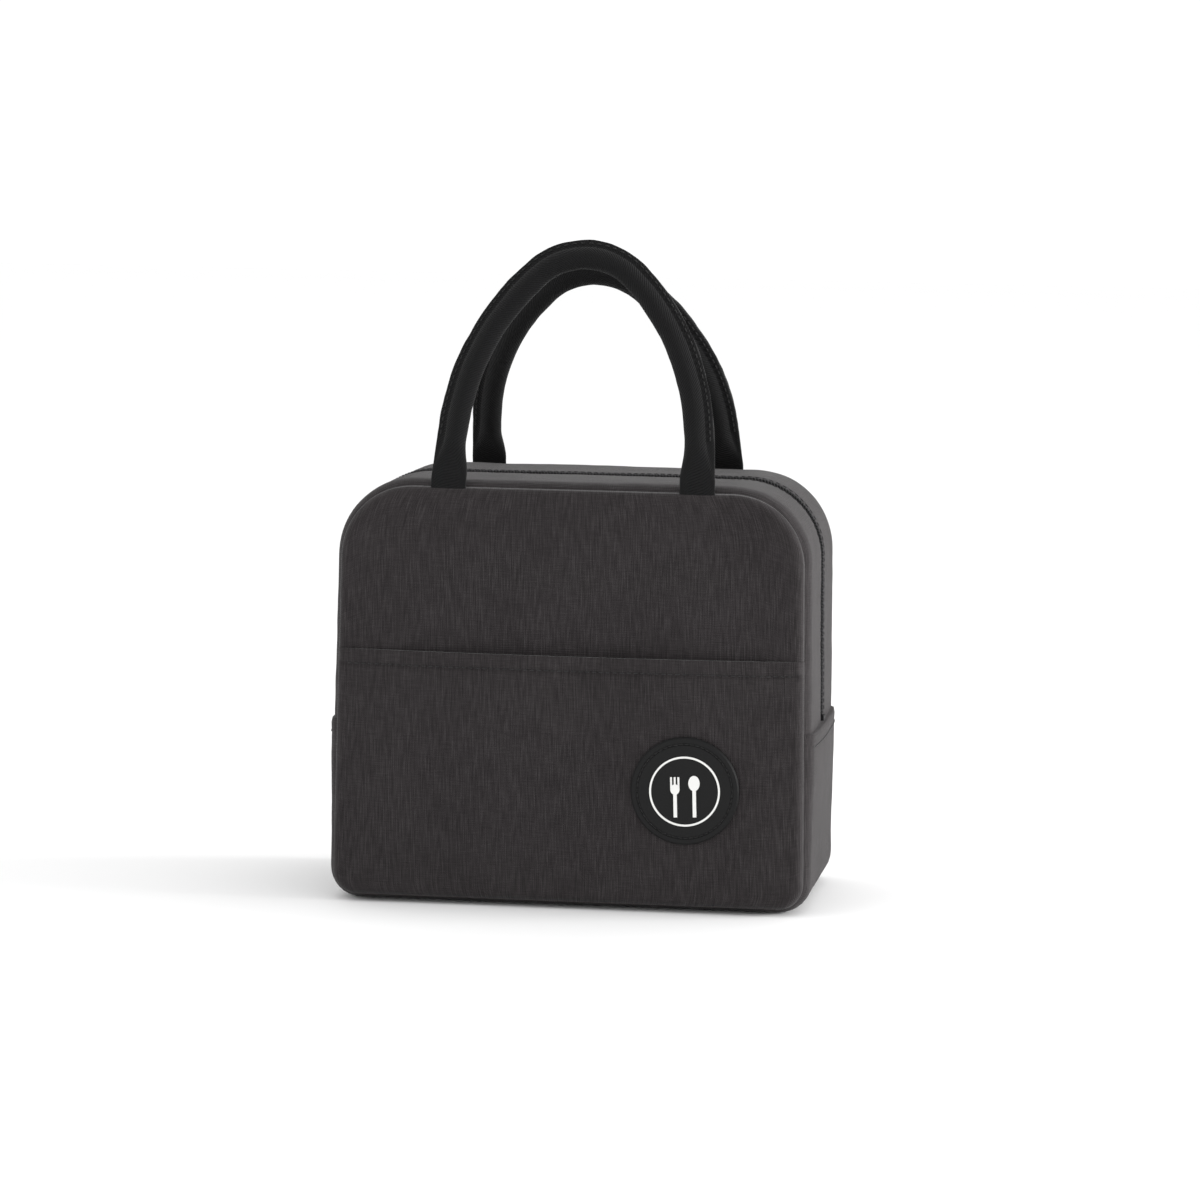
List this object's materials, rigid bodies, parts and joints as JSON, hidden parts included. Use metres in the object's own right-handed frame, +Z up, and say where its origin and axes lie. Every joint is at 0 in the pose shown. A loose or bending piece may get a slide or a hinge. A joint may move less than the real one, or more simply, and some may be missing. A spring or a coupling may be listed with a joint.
{
  "type": "insulated lunch bag",
  "caption": "Soft insulated lunch bag with foam walls and foil lining, a zip over the top, an open front pocket with a round badge, and padded carry handles.",
  "frame": {"origin": "middle of the flat base, on the surface the bag stands on", "axes": "+X to the bag's right seen from the front, +Y towards its rear, +Z up; the pocket faces -Y"},
  "size_m": [0.2393, 0.138, 0.32],
  "materials": {
    "oxford_cloth": "charcoal melange woven polyester",
    "webbing": "black cotton-feel webbing",
    "binding": "black bias binding",
    "foam": "white closed-cell EPE foam",
    "foil_lining": "aluminium-faced film",
    "zip_coil": "black nylon coil",
    "zip_tape": "black woven tape",
    "zip_metal": "black enamelled zinc",
    "badge_rubber": "matt black moulded rubber",
    "white_print": "raised white rubber",
    "filler_rope": "cotton filler rope"
  },
  "bodies": {
    "tub": {"badge": "badge_rubber", "badge_motif": "white_print", "base_gusset": "oxford_cloth", "base_gusset_foam": "foam", "base_gusset_lining": "foil_lining", "front_binding_lower": "binding", "front_foam_lower": "foam", "front_lining_lower": "foil_lining", "front_panel_lower": "oxford_cloth", "pocket_lower": "oxford_cloth", "rear_binding_lower": "binding", "rear_foam_lower": "foam", "rear_lining_lower": "foil_lining", "rear_panel_lower": "oxford_cloth", "zip_ends": "zip_coil", "zip_stops": "zip_coil"},
    "front_half": {"front_binding_upper": "binding", "front_foam_upper": "foam", "front_handle_tabs": "webbing", "front_lining_upper": "foil_lining", "front_panel_upper": "oxford_cloth", "front_zip_coil": "zip_coil", "front_zip_strip": "oxford_cloth", "front_zip_strip_foam": "foam", "front_zip_strip_lining": "foil_lining", "front_zip_tape": "zip_tape", "pocket_upper": "oxford_cloth"},
    "rear_half": {"rear_binding_upper": "binding", "rear_foam_upper": "foam", "rear_handle_tabs": "webbing", "rear_lining_upper": "foil_lining", "rear_panel_upper": "oxford_cloth", "rear_zip_coil": "zip_coil", "rear_zip_strip": "oxford_cloth", "rear_zip_strip_foam": "foam", "rear_zip_strip_lining": "foil_lining", "rear_zip_tape": "zip_tape"},
    "front_handle": {"front_handle": "webbing", "front_handle_rope": "filler_rope"},
    "rear_handle": {"rear_handle": "webbing", "rear_handle_rope": "filler_rope"},
    "slider": {"zip_slider": "zip_metal"},
    "pull": {"zip_pull": "zip_metal"}
  },
  "joints": [
    {"name": "front_half_open", "type": "hinge", "parent": "tub", "child": "front_half", "pos_m": [0, -0.073, 0.087], "axis": [1, 0, 0], "range_deg": [0, 25]},
    {"name": "rear_half_open", "type": "hinge", "parent": "tub", "child": "rear_half", "pos_m": [0, 0.0652, 0.087], "axis": [-1, 0, 0], "range_deg": [0, 25]},
    {"name": "front_handle_swing", "type": "hinge", "parent": "front_half", "child": "front_handle", "pos_m": [0, -0.0612, 0.206], "axis": [1, 0, 0], "range_deg": [-8, 140]},
    {"name": "rear_handle_swing", "type": "hinge", "parent": "rear_half", "child": "rear_handle", "pos_m": [0, 0.0612, 0.206], "axis": [-1, 0, 0], "range_deg": [-2, 150]},
    {"name": "zip_slider_travel", "type": "slide", "parent": "tub", "child": "slider", "axis": [-0.0151, 0, -0.9999], "range_m": [-0.055, 0]},
    {"name": "zip_pull_swing", "type": "hinge", "parent": "slider", "child": "pull", "pos_m": [-0.11957, 0, 0.0981], "axis": [0, 1, 0], "range_deg": [0, 170]}
  ]
}
